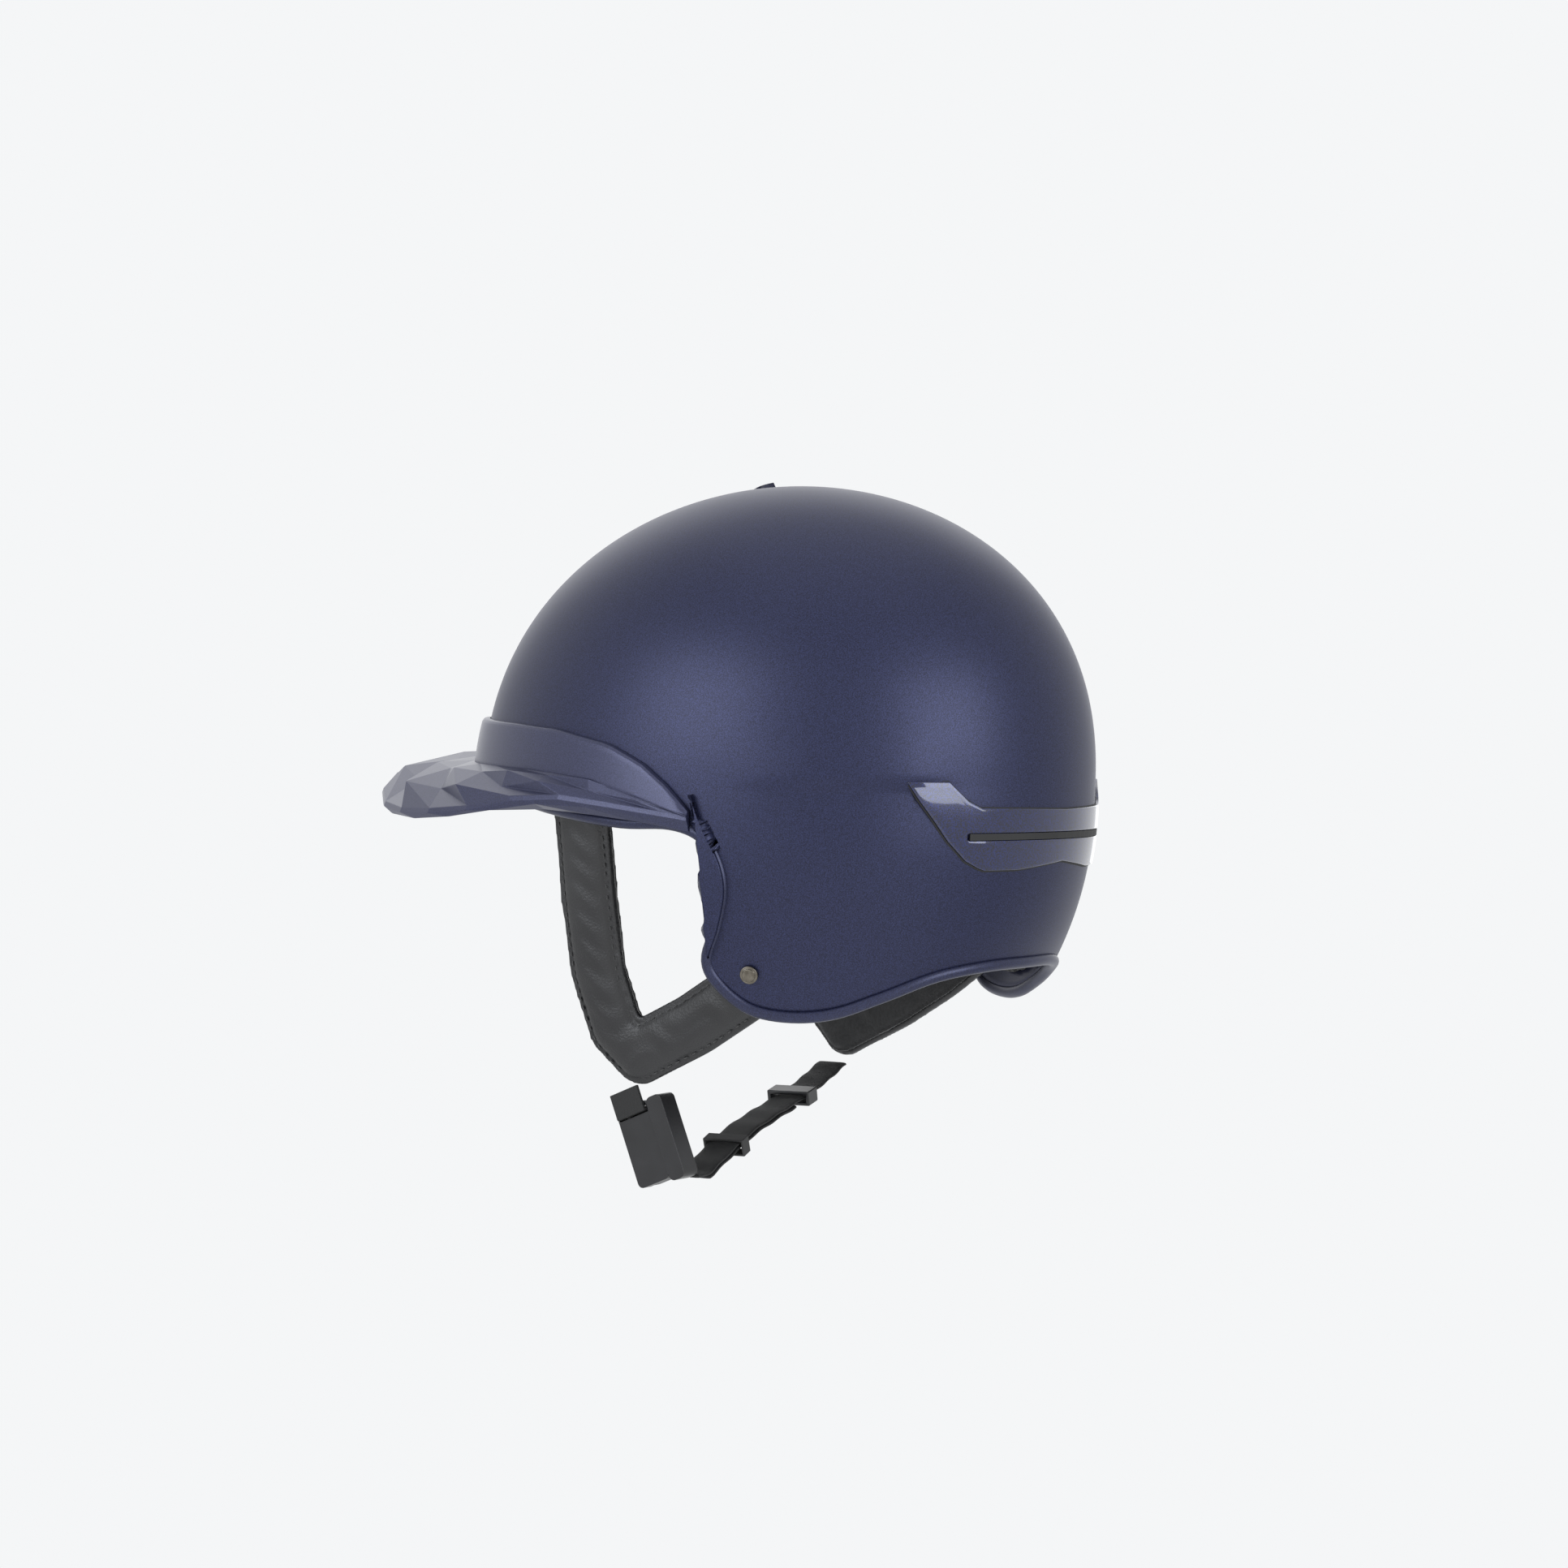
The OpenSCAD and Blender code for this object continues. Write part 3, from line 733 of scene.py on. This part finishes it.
def pads():
    """Soft inner pads: CAD shapes remeshed and rounded, with their own cloth."""
    for node, slot, material, voxel in (("brow_pad", "pad_fabric", PAD_KNIT, 2.0), ("nape_pad", "pad_fabric", PAD_KNIT, 2.0),
                                        ("crown_pad", "pad_fabric", PAD_KNIT, 2.2),
                                        ("left_flap_lining", "lining_suede", SUEDE, 1.5),
                                        ("right_flap_lining", "lining_suede", SUEDE, 1.5)):
        src = frame["nodes"][node]
        mesh = src.data.copy()
        ob = bpy.data.objects.new("work", mesh)
        bpy.context.collection.objects.link(ob)
        r = ob.modifiers.new("remesh", "REMESH")
        r.mode, r.voxel_size = "VOXEL", voxel * MM
        s = ob.modifiers.new("soften", "SMOOTH")
        s.factor, s.iterations = 0.5, 10
        done = bpy.data.meshes.new_from_object(ob.evaluated_get(bpy.context.evaluated_depsgraph_get()))
        bpy.data.objects.remove(ob)
        bm = bmesh.new()
        bm.from_mesh(done)
        bpy.data.meshes.remove(done)
        made = piece(node + "_soft", bm, "helmet", material, [node])


studio()
shell()
rim_bead()
rear_trim()
trim_shadow_gap()
peak_band()
brim()
for side, word in ((1, "left"), (-1, "right")):
    padded_layer(word + "_harness", word + "_leather", side, LEATHER, 1, 2.6)
    padded_layer(word + "_harness_lining", word + "_suede", side, SUEDE, -1, 1.6)
    stitching(side, word + "_stitching")
pads()
band("chin_band", smooth(ROUTE, 8), WEB_W, WEB_T, 0, "chin_strap", ["chin_webbing"])
band("tail_band", smooth(ROUTE[1:6], 8), WEB_W, WEB_T, WEB_T + 0.2, "chin_strap", ["webbing_tail"])
refinish("left_webbing", WEBBING, 0.3)
refinish("buckle_base", BUCKLE, 0.9)
refinish("buckle_tab", BUCKLE, 0.9)
refinish("webbing_slider", BUCKLE, 0.5)
refinish("webbing_keeper", RUBBER, 0.4)
refinish("flap_rivets", GUNMETAL, 0.3)
paint("vent_grille", GRILLE)
paint("strap_anchors", DARK_STEEL)
for node in ("base_magnet", "tab_magnet"):
    paint(node, PLATED)
paint("hook_pads", HOOKS)
paint("foam_liner", FOAM)
